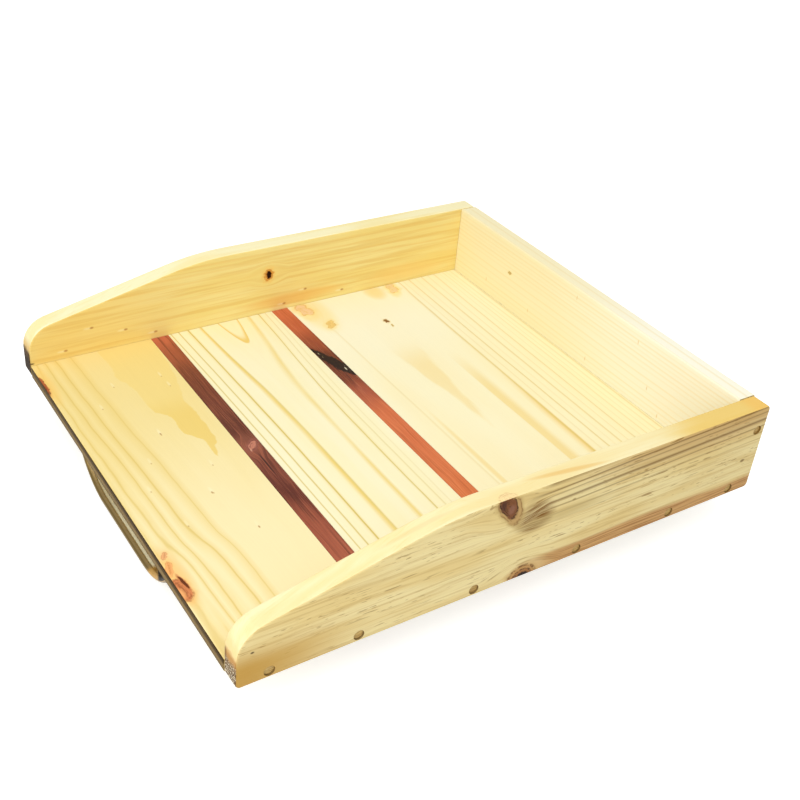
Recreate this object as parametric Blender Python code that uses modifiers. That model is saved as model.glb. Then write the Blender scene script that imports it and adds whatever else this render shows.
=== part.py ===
"""Open-fronted pine tray with scooped sides, a striped plank floor and a bow pull under its front edge.

Frame: +X to the right as seen from the open front, which faces -Y, and +Z up. The origin is under the
middle of the tray, level with the lowest point of the pull. All sizes are in metres.
"""

from math import atan2, copysign, cos, pi, radians, sin, tan

import bmesh
import bpy
from mathutils import Matrix, Vector

# Boards
TRAY_WIDTH = 0.464  # over both side panels
SIDE_THICKNESS = 0.019
SIDE_HEIGHT = 0.089
BACK_THICKNESS = 0.019
FLOOR_THICKNESS = 0.0127
FRONT_PLANK_WIDTH = 0.1215
MIDDLE_PLANK_WIDTH = 0.1170
REAR_PLANK_WIDTH = 0.2385
STRIP_WIDTH = 0.0185  # each of the two cedar strips

# Side panel outline
NOSE_HEIGHT = 0.0485  # where the ramp's line meets the front end
RAMP_ANGLE = radians(12.9)
NOSE_RADIUS = 0.028
SHOULDER_RADIUS = 0.280  # between the ramp and the level top edge
CORNER_RADIUS = 0.0040
EASED_EDGE = 0.0015

# Screws and the plugs that cover them
SCREW_HEAD_RADIUS = 0.0040
SCREW_HEAD_HEIGHT = 0.0025
SCREW_SHANK_RADIUS = 0.0020
SCREW_LENGTH = 0.0350  # under the head
SCREW_POINT = 0.0060
PLUG_RADIUS = 0.0043
PLUG_RECESS = 0.0015
COUNTERBORE_DEPTH = 0.0090
FLOOR_SCREW_END_INSET = 0.0262  # first and last screw, from the ends of the side panel
FLOOR_SCREW_SECOND_INSET = 0.1000
FLOOR_SCREWS_PER_SIDE = 6
BACK_SCREW_DROP = 0.0235  # below the top edge
BASE_SCREW_COUNT = 3  # from below, through the floor into the back wall
BASE_SCREW_INSET = 0.0600  # first and last screw, from the ends of the back wall
BASE_SCREW_LENGTH = 0.0300
BASE_COUNTERSINK_DEPTH = 0.0030

# Bow pull
PULL_CENTRES = 0.2100  # between the ends of the bow
PULL_DROP = 0.0345  # from the floor's underside to the middle of the grip
PULL_ELBOW = 0.0722  # from the middle to where the lines of grip and leg cross
PULL_BEND_RADIUS = 0.0642
PULL_WIDTH = 0.0150  # front to back
PULL_THICKNESS = 0.0070
PULL_SETBACK = 0.0132  # from the front edge to the middle of the bar
FOOT_LENGTH = 0.0300
FOOT_THICKNESS = 0.0035
FOOT_OVERLAP = 0.0080  # how far a foot runs inwards past the end of the bow
PULL_SCREW_INSET = 0.0080  # from the outer end of a foot
PULL_SCREW_LENGTH = 0.0100
PULL_SCREW_HEAD_HEIGHT = 0.0020

GAP = 0.0003  # between pieces that touch
MERGE = 0.00005
ROUND_SEGMENTS = 20
OVAL_SEGMENTS = 16
ARC_STEP = radians(12)
ARC_CHORD = 0.008

# Worked out from the sizes above
TRAY_DEPTH = FRONT_PLANK_WIDTH + MIDDLE_PLANK_WIDTH + REAR_PLANK_WIDTH + 2 * STRIP_WIDTH
FLOOR_LENGTH = TRAY_WIDTH - 2 * SIDE_THICKNESS
FRONT_Y = -TRAY_DEPTH / 2
BACK_Y = TRAY_DEPTH / 2
FLOOR_MID_Z = FLOOR_THICKNESS / 2
BACK_MID_Y = BACK_Y - BACK_THICKNESS / 2
PULL_Y = FRONT_Y + PULL_SETBACK
PULL_LOW = PULL_DROP + PULL_THICKNESS / 2

PARTS = "scooped_tray"
CUTTERS = "cutters_and_guides"


def clear_scene():
    for item in list(bpy.data.objects):
        bpy.data.objects.remove(item, do_unlink=True)


def new_collection(name):
    collection = bpy.data.collections.new(name)
    bpy.context.scene.collection.children.link(collection)
    return collection


def material(name, colour, roughness, metallic=0.0):
    made = bpy.data.materials.new(name)
    made.use_nodes = True
    shader = made.node_tree.nodes["Principled BSDF"]
    shader.inputs["Base Color"].default_value = (*colour, 1.0)
    shader.inputs["Roughness"].default_value = roughness
    shader.inputs["Metallic"].default_value = metallic
    return made


def add_object(name, data, collection, parent=None, matrix=None):
    item = bpy.data.objects.new(name, data)
    collection.objects.link(item)
    item.parent = parent
    if matrix is not None:
        item.matrix_local = matrix
    return item


def finish(item, surface):
    """Give a piece its one material and round shading on its curved faces."""
    item.data.materials.clear()
    item.data.materials.append(surface)
    item.data.shade_smooth()
    item.data.set_sharp_from_angle(angle=radians(30))
    return item


def evaluated_mesh(item, name):
    """The item's mesh as its modifiers or curve settings leave it, with its seams welded."""
    bpy.context.view_layer.update()
    graph = bpy.context.evaluated_depsgraph_get()
    mesh = bpy.data.meshes.new_from_object(item.evaluated_get(graph))
    mesh.name = name
    shape = bmesh.new()
    shape.from_mesh(mesh)
    bmesh.ops.remove_doubles(shape, verts=shape.verts, dist=MERGE)
    bmesh.ops.recalc_face_normals(shape, faces=shape.faces)
    shape.to_mesh(mesh)
    shape.free()
    bpy.data.objects.remove(item, do_unlink=True)
    return mesh


def turned_mesh(name, profile):
    """A solid of revolution about Z from (radius, z) points that run from the top down to the foot."""
    outline = bpy.data.meshes.new(name + "_profile")
    edges = [(i, i + 1) for i in range(len(profile) - 1)]
    outline.from_pydata([(radius, 0.0, z) for radius, z in profile], edges, [])
    blank = add_object(name + "_blank", outline, bpy.context.scene.collection)
    screw = blank.modifiers.new("Turn", "SCREW")
    screw.axis = "Z"
    screw.angle = 2 * pi
    screw.steps = ROUND_SEGMENTS
    screw.render_steps = ROUND_SEGMENTS
    screw.use_merge_vertices = True
    screw.merge_threshold = MERGE
    return evaluated_mesh(blank, name)


def bend(before, corner, after, radius):
    """Points along the arc that rounds a corner between its two neighbours."""
    corner = Vector(corner)
    inward = (Vector(before) - corner).normalized()
    onward = (Vector(after) - corner).normalized()
    half = inward.angle(onward) / 2
    centre = corner + (inward + onward).normalized() * radius / sin(half)
    first = corner + inward * radius / tan(half) - centre
    last = corner + onward * radius / tan(half) - centre
    start = atan2(first.y, first.x)
    turn = (atan2(last.y, last.x) - start + pi) % (2 * pi) - pi
    steps = max(round(abs(turn) / ARC_STEP), round(abs(turn) * radius / ARC_CHORD), 3)
    angles = [start + turn * i / steps for i in range(steps + 1)]
    return [centre + Vector((cos(angle), sin(angle))) * radius for angle in angles]


def rounded_outline(corners):
    """Points round a closed outline of (a, b, radius) corners."""
    points = []
    for i, (a, b, radius) in enumerate(corners):
        after = corners[(i + 1) % len(corners)]
        points += bend(corners[i - 1][:2], (a, b), after[:2], radius)
    return points


def poly_curve(name, points, dimensions, cyclic):
    curve = bpy.data.curves.new(name, "CURVE")
    curve.dimensions = dimensions
    spline = curve.splines.new("POLY")
    spline.points.add(len(points) - 1)
    for point, place in zip(spline.points, points):
        point.co = (*place, *[0.0] * (3 - len(place)), 1.0)
    spline.use_cyclic_u = cyclic
    return curve


def cuboid(size):
    shape = bmesh.new()
    bmesh.ops.create_cube(shape, size=1.0)
    bmesh.ops.scale(shape, vec=size, verts=shape.verts)
    return shape


def box(name, low, high, parent, collection, surface, eased=None):
    """A board between two corners. eased(edge) picks the long edges that are rounded over."""
    shape = cuboid(Vector(high) - Vector(low))
    mesh = bpy.data.meshes.new(name)
    if eased:
        weights = shape.edges.layers.float.new("bevel_weight_edge")
        for edge in shape.edges:
            edge[weights] = float(eased(edge))
    shape.to_mesh(mesh)
    shape.free()
    middle = Matrix.Translation((Vector(low) + Vector(high)) / 2)
    board = add_object(name, mesh, collection, parent, middle)
    if eased:
        bevel = board.modifiers.new("Eased edges", "BEVEL")
        bevel.limit_method = "WEIGHT"
        bevel.width = EASED_EDGE
        bevel.segments = 2
    return finish(board, surface)


def drill(board, holes):
    """Cut every hole of the collection that passes through the board."""
    cut = board.modifiers.new("Drilled holes", "BOOLEAN")
    cut.operation = "DIFFERENCE"
    cut.operand_type = "COLLECTION"
    cut.collection = holes
    cut.solver = "EXACT"


def add_cutter(name, mesh, holes, parent, matrix):
    cutter = add_object(name, mesh, holes, parent, matrix)
    cutter.hide_render = True
    cutter.display_type = "WIRE"
    return cutter


def side_outline():
    """The side panel's outline as (distance from the front end, height) corners with their radii."""
    shoulder = (SIDE_HEIGHT - NOSE_HEIGHT) / tan(RAMP_ANGLE)
    return rounded_outline([
        (0.0, 0.0, CORNER_RADIUS),
        (TRAY_DEPTH, 0.0, CORNER_RADIUS),
        (TRAY_DEPTH, SIDE_HEIGHT, CORNER_RADIUS),
        (shoulder, SIDE_HEIGHT, SHOULDER_RADIUS),
        (0.0, NOSE_HEIGHT, NOSE_RADIUS),
    ])


def side_panel_mesh():
    """An upright board in its own YZ plane, with its scooped outline and eased edges."""
    curve = poly_curve("side_outline", side_outline(), "2D", True)
    curve.fill_mode = "BOTH"
    curve.bevel_depth = EASED_EDGE
    curve.bevel_resolution = 1
    curve.offset = -EASED_EDGE
    curve.extrude = SIDE_THICKNESS / 2 - EASED_EDGE
    blank = add_object("side_blank", curve, bpy.context.scene.collection)
    mesh = evaluated_mesh(blank, "side_panel")
    stand = Matrix(((0, 0, 1, 0), (1, 0, 0, FRONT_Y), (0, 1, 0, 0), (0, 0, 0, 1)))
    mesh.transform(stand)
    return mesh


def side_panels(tray, parts, pine):
    mesh = side_panel_mesh()
    panels = {}
    for side, direction in (("right", 1), ("left", -1)):
        place = Matrix.Translation((direction * (TRAY_WIDTH - SIDE_THICKNESS) / 2, 0, 0))
        panels[side] = finish(add_object("side_panel_" + side, mesh.copy(), parts, tray, place), pine)
    return panels


def floor_boards(tray, parts, pine, cedar):
    """Planks and strips from the front to the back, with their grain across the tray."""
    courses = (
        ("front_plank", FRONT_PLANK_WIDTH, pine),
        ("front_cedar_strip", STRIP_WIDTH, cedar),
        ("middle_plank", MIDDLE_PLANK_WIDTH, pine),
        ("rear_cedar_strip", STRIP_WIDTH, cedar),
        ("rear_plank", REAR_PLANK_WIDTH, pine),
    )
    half = FLOOR_LENGTH / 2 - GAP
    boards = {}
    y = FRONT_Y
    for name, width, wood in courses:
        front = y if name == "front_plank" else y + GAP / 2
        back = y + width if name == "rear_plank" else y + width - GAP / 2
        outer = front if name == "front_plank" else back if name == "rear_plank" else None
        middle = (front + back) / 2

        def is_outer(edge, outer=outer, middle=middle):
            return outer is not None and all(abs(v.co.y + middle - outer) < MERGE for v in edge.verts)

        low = (-half, front, 0.0)
        high = (half, back, FLOOR_THICKNESS)
        boards[name] = box(name, low, high, tray, parts, wood, is_outer)
        y += width
    return boards


def back_wall(tray, parts, pine):
    """Stands on the rear plank between the side panels, flush with their top edges."""
    half = FLOOR_LENGTH / 2 - GAP
    low = (-half, BACK_Y - BACK_THICKNESS, FLOOR_THICKNESS + GAP)
    high = (half, BACK_Y, SIDE_HEIGHT)

    def is_top(edge):
        return all(v.co.z > 0 for v in edge.verts)

    return box("back_wall", low, high, tray, parts, pine, is_top)


def screw_profile(head_radius, head_height, length, point):
    return [
        (0.0, 0.0),
        (head_radius, 0.0),
        (head_radius, -head_height),
        (SCREW_SHANK_RADIUS, -head_height),
        (SCREW_SHANK_RADIUS, point - head_height - length),
        (0.0, -head_height - length),
    ]


def hole_profile(mouth, seat, head_radius, length):
    """A counterbore from above its mouth down to the head's seat, then the hole for the shank."""
    return [
        (0.0, mouth),
        (head_radius + GAP, mouth),
        (head_radius + GAP, seat),
        (SCREW_SHANK_RADIUS + GAP, seat),
        (SCREW_SHANK_RADIUS + GAP, seat - length - GAP),
        (0.0, seat - length - GAP),
    ]


def outward(direction):
    """Turns a piece whose head faces +Z so that it faces the given way."""
    return Vector(direction).to_track_quat("Z", "Y").to_matrix().to_4x4()


def side_screw_places():
    """(board, number, y, z) of each screw through a side panel, in the tray's frame."""
    inner = TRAY_DEPTH - 2 * FLOOR_SCREW_SECOND_INSET
    span = FLOOR_SCREWS_PER_SIDE - 3
    rows = [FLOOR_SCREW_END_INSET]
    rows += [FLOOR_SCREW_SECOND_INSET + inner * i / span for i in range(span + 1)]
    rows += [TRAY_DEPTH - FLOOR_SCREW_END_INSET]
    places = [("floor", f"_{i + 1}", FRONT_Y + y, FLOOR_MID_Z) for i, y in enumerate(rows)]
    places.append(("back", "", BACK_MID_Y, SIDE_HEIGHT - BACK_SCREW_DROP))
    return places


def side_screws(tray, parts, holes, steel, pine):
    """Screws through the side panels into the floor and the back wall, each under a wood plug."""
    seat = -COUNTERBORE_DEPTH
    head_top = seat + GAP + SCREW_HEAD_HEIGHT
    plug_foot = head_top + GAP
    plug_top = -PLUG_RECESS
    plug_profile = [(0.0, plug_top), (PLUG_RADIUS, plug_top), (PLUG_RADIUS, plug_foot), (0.0, plug_foot)]
    plug = turned_mesh("plug", plug_profile)
    profile = screw_profile(SCREW_HEAD_RADIUS, SCREW_HEAD_HEIGHT, SCREW_LENGTH, SCREW_POINT)
    screw = turned_mesh("side_screw", profile)
    hole = turned_mesh("side_hole", hole_profile(COUNTERBORE_DEPTH, seat, PLUG_RADIUS, SCREW_LENGTH))
    for side, direction in (("right", 1), ("left", -1)):
        for board, number, y, z in side_screw_places():
            face = Matrix.Translation((direction * TRAY_WIDTH / 2, y, z)) @ outward((direction, 0, 0))
            seated = face @ Matrix.Translation((0, 0, head_top))
            finish(add_object(f"{board}_screw_{side}{number}", screw, parts, tray, seated), steel)
            finish(add_object(f"{board}_plug_{side}{number}", plug, parts, tray, face), pine)
            add_cutter(f"{board}_hole_{side}{number}", hole, holes, tray, face)


def base_screws(tray, parts, holes, steel):
    """Screws up through the rear plank into the back wall, with their heads just below its underside."""
    seat = -BASE_COUNTERSINK_DEPTH
    head_top = seat + GAP + SCREW_HEAD_HEIGHT
    profile = screw_profile(SCREW_HEAD_RADIUS, SCREW_HEAD_HEIGHT, BASE_SCREW_LENGTH, SCREW_POINT)
    screw = turned_mesh("base_screw", profile)
    hole_steps = hole_profile(FLOOR_THICKNESS, seat, SCREW_HEAD_RADIUS, BASE_SCREW_LENGTH)
    hole = turned_mesh("base_hole", hole_steps)
    reach = FLOOR_LENGTH / 2 - BASE_SCREW_INSET
    for i in range(BASE_SCREW_COUNT):
        x = reach * (2 * i / (BASE_SCREW_COUNT - 1) - 1)
        face = Matrix.Translation((x, BACK_MID_Y, 0.0)) @ outward((0, 0, -1))
        seated = face @ Matrix.Translation((0, 0, head_top))
        name = f"base_screw_{i + 1}"
        finish(add_object(name, screw, parts, tray, seated), steel)
        add_cutter(name + "_hole", hole, holes, tray, face)


def bow_path():
    """The bar's middle line in XZ: a level grip and two legs that run on a little past the feet."""
    foot = Vector((PULL_CENTRES / 2, 0.0))
    elbow = Vector((PULL_ELBOW, -PULL_DROP))
    end = foot + (foot - elbow).normalized() * PULL_THICKNESS
    right = bend((0, -PULL_DROP), elbow, foot, PULL_BEND_RADIUS) + [end]
    return [Vector((-p.x, p.y)) for p in reversed(right)] + right


def bow_mesh():
    """An oval bar swept along the bow."""
    angles = [2 * pi * i / OVAL_SEGMENTS for i in range(OVAL_SEGMENTS)]
    oval = [(PULL_WIDTH / 2 * cos(a), PULL_THICKNESS / 2 * sin(a)) for a in angles]
    section_curve = poly_curve("pull_section", oval, "2D", True)
    section = add_object("pull_section", section_curve, bpy.context.scene.collection)
    curve = poly_curve("pull_bow", [(p.x, 0.0, p.y) for p in bow_path()], "3D", False)
    curve.twist_mode = "Z_UP"
    curve.bevel_mode = "OBJECT"
    curve.bevel_object = section
    curve.use_fill_caps = True
    blank = add_object("bow_blank", curve, bpy.context.scene.collection)
    mesh = evaluated_mesh(blank, "bow")
    bpy.data.objects.remove(section, do_unlink=True)
    return mesh


def foot_mesh(direction):
    """A round-ended plate whose upper face is level with the floor's underside."""
    radius = PULL_WIDTH / 2
    inner = PULL_CENTRES / 2 - FOOT_OVERLAP
    middle = direction * (inner + FOOT_LENGTH / 2)
    reach = FOOT_LENGTH / 2 - radius
    angles = [2 * pi * (i + 0.5) / ROUND_SEGMENTS for i in range(ROUND_SEGMENTS)]
    outline = [(middle + copysign(reach, cos(a)) + radius * cos(a), radius * sin(a)) for a in angles]
    curve = poly_curve("foot_outline", outline, "2D", True)
    curve.fill_mode = "BOTH"
    height = FOOT_THICKNESS + GAP
    curve.extrude = height / 2
    mesh = evaluated_mesh(add_object("foot_blank", curve, bpy.context.scene.collection), "foot")
    mesh.transform(Matrix.Translation((0, 0, -height / 2)))
    return mesh


def pull_trim_mesh():
    """A block that takes off what reaches above the seating face of the feet."""
    shape = cuboid((PULL_CENTRES + 2 * FOOT_LENGTH, 2 * PULL_WIDTH, 2 * PULL_THICKNESS))
    mesh = bpy.data.meshes.new("pull_trim")
    shape.to_mesh(mesh)
    shape.free()
    mesh.transform(Matrix.Translation((0, 0, PULL_THICKNESS - GAP)))
    return mesh


def pull_handle(tray, parts, guides, holes, metal):
    """The bow and its two feet as one casting, set back under the front edge."""
    place = Matrix.Translation((0, PULL_Y, 0))
    pull = add_object("pull_handle", bow_mesh(), parts, tray, place)
    for side, direction in (("left", -1), ("right", 1)):
        foot = add_cutter("pull_foot_" + side, foot_mesh(direction), guides, tray, place)
        join = pull.modifiers.new("Foot " + side, "BOOLEAN")
        join.operation = "UNION"
        join.solver = "EXACT"
        join.object = foot
    trim = pull.modifiers.new("Seating face", "BOOLEAN")
    trim.operation = "DIFFERENCE"
    trim.solver = "EXACT"
    trim.object = add_cutter("pull_trim", pull_trim_mesh(), guides, tray, place)
    drill(pull, holes)
    return finish(pull, metal)


def pull_screws(tray, parts, holes, steel):
    """Screws up through the feet of the pull into the front plank, their heads flush with the feet."""
    head_top = GAP + FOOT_THICKNESS
    seat = head_top - PULL_SCREW_HEAD_HEIGHT
    profile = screw_profile(SCREW_HEAD_RADIUS, PULL_SCREW_HEAD_HEIGHT, PULL_SCREW_LENGTH, SCREW_POINT)
    screw = turned_mesh("pull_screw", profile)
    hole_steps = hole_profile(PULL_DROP, seat - GAP, SCREW_HEAD_RADIUS, PULL_SCREW_LENGTH)
    hole = turned_mesh("pull_hole", hole_steps)
    reach = PULL_CENTRES / 2 - FOOT_OVERLAP + FOOT_LENGTH - PULL_SCREW_INSET
    for side, direction in (("left", -1), ("right", 1)):
        face = Matrix.Translation((direction * reach, PULL_Y, 0.0)) @ outward((0, 0, -1))
        name = "pull_screw_" + side
        seated = face @ Matrix.Translation((0, 0, head_top))
        finish(add_object(name, screw, parts, tray, seated), steel)
        add_cutter(name + "_hole", hole, holes, tray, face)


def main():
    clear_scene()
    parts = new_collection(PARTS)
    guides = new_collection(CUTTERS)
    holes = bpy.data.collections.new("holes")
    guides.children.link(holes)
    pine = material("pine", (0.83, 0.66, 0.36), 0.45)
    cedar = material("red_cedar", (0.36, 0.10, 0.05), 0.45)
    steel = material("screw_steel", (0.55, 0.54, 0.52), 0.35, 1.0)
    polished = material("polished_metal", (0.62, 0.58, 0.50), 0.12, 1.0)

    tray = bpy.data.objects.new("tray", None)
    parts.objects.link(tray)
    tray.location = (0, 0, PULL_LOW)

    wood = list(side_panels(tray, parts, pine).values())
    wood += floor_boards(tray, parts, pine, cedar).values()
    wood.append(back_wall(tray, parts, pine))
    side_screws(tray, parts, holes, steel, pine)
    base_screws(tray, parts, holes, steel)
    pull_screws(tray, parts, holes, steel)
    for board in wood:
        drill(board, holes)
    pull_handle(tray, parts, guides, holes, polished)


main()
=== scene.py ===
from math import cos, radians, sin, tan

import bpy
from mathutils import Matrix, Vector


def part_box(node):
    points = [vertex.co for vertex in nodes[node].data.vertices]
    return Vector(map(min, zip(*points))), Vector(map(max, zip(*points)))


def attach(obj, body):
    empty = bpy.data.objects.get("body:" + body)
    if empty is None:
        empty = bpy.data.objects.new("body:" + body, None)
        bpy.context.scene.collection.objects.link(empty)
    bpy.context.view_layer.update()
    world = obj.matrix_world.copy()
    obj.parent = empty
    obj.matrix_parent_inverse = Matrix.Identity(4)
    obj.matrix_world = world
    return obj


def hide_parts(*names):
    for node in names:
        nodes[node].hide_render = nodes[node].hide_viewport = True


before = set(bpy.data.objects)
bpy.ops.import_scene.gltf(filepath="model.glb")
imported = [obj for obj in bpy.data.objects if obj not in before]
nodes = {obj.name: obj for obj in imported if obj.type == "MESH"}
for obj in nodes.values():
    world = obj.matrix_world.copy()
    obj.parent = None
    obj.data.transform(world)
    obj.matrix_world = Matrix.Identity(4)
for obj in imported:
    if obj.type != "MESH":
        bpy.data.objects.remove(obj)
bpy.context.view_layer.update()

MM = 0.001
FLOOR_SPAN = 426.0  # mm along a floor board
FLOOR_THICKNESS = 12.7
SIDE_LENGTH = 514.0
HOLE_REACH = (8.5, 8.5)  # a little over the plugs' radius

# Places in the tray, in metres, from the frame
side_low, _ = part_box("side_panel_right")
floor_low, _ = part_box("front_plank")
wall_low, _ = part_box("back_wall")
pull_low, pull_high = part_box("pull_handle")
FRONT = side_low.y
BASE = side_low.z
FLOOR_LEFT = floor_low.x
PULL_Y = (pull_low.y + pull_high.y) / 2

# The pull, as in the part's source
PULL_CENTRES = 0.2100
PULL_DROP = 0.0345
PULL_ELBOW = 0.0722
PULL_BEND_RADIUS = 0.0642
PULL_WIDTH = 0.0150
PULL_THICKNESS = 0.0070
FOOT_LENGTH = 0.0300
FOOT_THICKNESS = 0.0035
FOOT_OVERLAP = 0.0080
PULL_SCREW_INSET = 0.0080
SEAT_GAP = 0.0003
FOOT_ROUNDING = 0.0007
PULL_HOLE_RADIUS = 0.0023
COUNTERSINK_RADIUS = 0.0044
COUNTERSINK_DEPTH = 0.0026
CUT_CLEARANCE = 0.0002
CUT_THROUGH = 0.0100
TRIM_BLOCK = (0.4, 0.04, 0.02)  # takes off all that stands above the seat
AROUND = 40  # sides of the round forms of the pull and of the screws' heads

# Screws that show from below, in metres
SCREW_GAUGE = {"Head radius": 0.0040, "Shank radius": 0.0020, "Point": 0.0060}
BASE_SCREW = {**SCREW_GAUGE, "Head height": 0.0025, "Length": 0.0300, "Pitch": 0.0016}
PULL_SCREW = {**SCREW_GAUGE, "Head height": 0.0020, "Length": 0.0100, "Pitch": 0.0014}
TIP_RADIUS = 0.00012
CORE_SHARE = 0.78  # of the shank's radius, below the thread
RIDGE_SHARE = 0.22
SLOT_LENGTH = 1.15  # of the head's radius
SLOT_WIDTH = 0.24
SLOT_DEPTH = 1.1  # of the head's height, half of it in the head
THREAD_SHARE = 0.85  # of the shank
THREAD_START = 0.1
CORE_SIDES = 24

# The studio: places and sizes in metres, powers in watts
OVERHEAD_LAMP = {"place": (0.45, -0.35, 1.7), "target": (0.0, 0.0, 0.05), "size": 1.6, "power": 14.4}
FRONT_LAMP = {"place": (0.75, -1.5, 0.6), "target": (0.0, 0.0, 0.08), "size": 1.2, "power": 10.5}
SKY_STRENGTH = 0.62
FLOOR_GLOW = 0.62
FLOOR_HALF = 6.0
FLOOR_GREY = (0.72, 0.72, 0.72, 1.0)
WHITE = (1.0, 1.0, 1.0, 1.0)
CLIP_START = 0.01

# The camera that took the photograph, from a fit to the tray's edges
CAMERA_PLACE = (0.7363, -0.5027, 0.6241)  # from the middle of the boards' undersides
CAMERA_TURN = (1.9051, 1.0984, -0.4861)  # axis times angle, of the view's right, down and forward axes
FOCAL_PIXELS = 1153.2
IMAGE_PIXELS = 800
SENSOR_MM = 36.0

# Colours as they read in even light, in sRGB 0 to 255
PALE_PINE = (249, 238, 190)
CREAM_PINE = (250, 242, 202)
AMBER = (236, 202, 110)
GOLD_LINE = (204, 178, 54)
OLIVE_SHADE = (150, 126, 74)
KNOT_RED = (128, 80, 46)
KNOT_DARK = (50, 28, 14)
CEDAR_BLACK = (40, 20, 16)
END_TAN = (206, 184, 130)
END_DARK = (96, 74, 38)
SAWN_RING = (168, 136, 82)
ARRIS_BROWN = (120, 86, 40)
HOLE_BROWN = (104, 72, 34)
UNDERSIDE_TAN = (228, 206, 150)
UNDERSIDE_GRAIN = (190, 158, 102)
TAIL_CREAM = (250, 240, 196)


def linear(colour):
    """sRGB 0 to 255 as a linear RGBA colour."""
    values = [c / 255 for c in colour]
    return (*[v / 12.92 if v <= 0.04045 else ((v + 0.055) / 1.055) ** 2.4 for v in values], 1.0)


class Tree:
    """Short calls that add nodes to a tree and join them up."""

    def __init__(self, tree):
        self.tree = tree

    def add(self, kind, inputs=(), **settings):
        made = self.tree.nodes.new(kind)
        for key, value in settings.items():
            setattr(made, key, value)
        for socket, value in dict(inputs).items():
            for one in value if isinstance(value, list) else [value]:
                self.feed(made.inputs[socket], one)
        return made

    def out(self, kind, inputs=(), **settings):
        return self.add(kind, inputs, **settings).outputs[0]

    def feed(self, socket, value):
        if isinstance(value, bpy.types.NodeSocket):
            self.tree.links.new(value, socket)
        else:
            socket.default_value = value

    def math(self, operation, a, b=0.0, c=0.0, clamp=False):
        return self.out("ShaderNodeMath", {0: a, 1: b, 2: c}, operation=operation, use_clamp=clamp)

    def plus(self, a, b):
        return self.math("ADD", a, b)

    def minus(self, a, b):
        return self.math("SUBTRACT", a, b)

    def over(self, a, b):
        return self.math("DIVIDE", a, b)

    def most(self, a, b):
        return self.math("MAXIMUM", a, b)

    def size_of(self, a):
        return self.math("ABSOLUTE", a)

    def times_plus(self, a, b, c):
        return self.math("MULTIPLY_ADD", a, b, c)

    def times(self, first, *others):
        for other in others:
            first = self.math("MULTIPLY", first, other)
        return first

    def shown(self):
        """1 for what the camera sees, straight or in a mirror, 0 for light that falls on the tray."""
        rays = self.add("ShaderNodeLightPath").outputs
        return self.most(rays["Is Camera Ray"], rays["Is Glossy Ray"])

    def vector(self, x, y, z=0.0):
        return self.out("ShaderNodeCombineXYZ", {0: x, 1: y, 2: z})


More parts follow.
